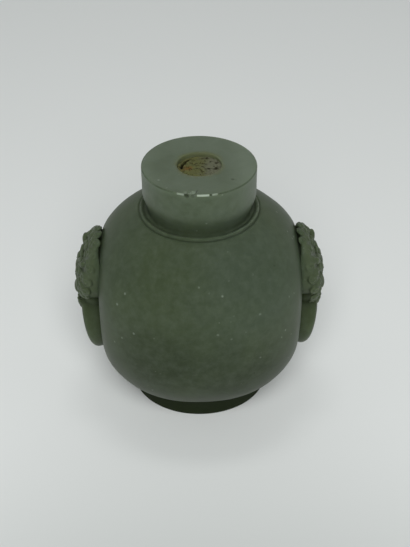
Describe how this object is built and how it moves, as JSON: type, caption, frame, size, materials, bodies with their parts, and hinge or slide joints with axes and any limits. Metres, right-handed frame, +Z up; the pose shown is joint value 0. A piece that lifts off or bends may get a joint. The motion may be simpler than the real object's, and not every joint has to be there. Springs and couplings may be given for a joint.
{
  "type": "snuff bottle",
  "caption": "Small carved jade snuff bottle: rounded body, two flat sides each with a lion mask and ring in relief, straight neck in a groove, low oval foot, and a cork stub in the mouth.",
  "frame": {"origin": "the middle of the foot's underside, on the surface the bottle stands on", "axes": "+Z up through the neck, +X out through one mask, +Y out through one broad side"},
  "size_m": [0.048, 0.0396, 0.05],
  "materials": {
    "jade": "satin-polished grey-green nephrite",
    "cork": "rough, stained and crumbling"
  },
  "bodies": {
    "root": {"bottle": "jade", "cork_stub": "cork"}
  },
  "joints": []
}
